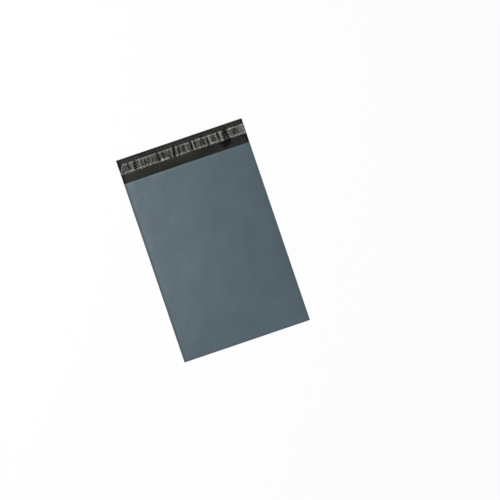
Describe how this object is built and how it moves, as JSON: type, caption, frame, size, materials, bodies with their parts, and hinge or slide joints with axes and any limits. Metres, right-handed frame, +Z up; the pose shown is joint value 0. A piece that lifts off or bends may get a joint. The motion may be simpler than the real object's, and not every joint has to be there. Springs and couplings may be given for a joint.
{
  "type": "poly mailer",
  "caption": "Flat plastic mailing bag with an open flap, a glue strip and a crinkled clear release liner.",
  "frame": {"origin": "on the surface that the bag lies on, under the middle of its outline", "axes": "+X across the bag, +Y from the bottom fold to the flap, +Z up out of the front panel"},
  "size_m": [0.25, 0.402, 0.0098],
  "materials": {
    "grey_black_film": "satin polyethylene film, blue-grey outside and black inside",
    "hot_melt_glue": "clear tacky hot-melt coat, dark because the black film shows through it",
    "clear_liner_film": "clear glossy crinkled film"
  },
  "bodies": {
    "root": {"film_bag": "grey_black_film", "glue_strip": "hot_melt_glue", "release_liner": "clear_liner_film"}
  },
  "joints": []
}
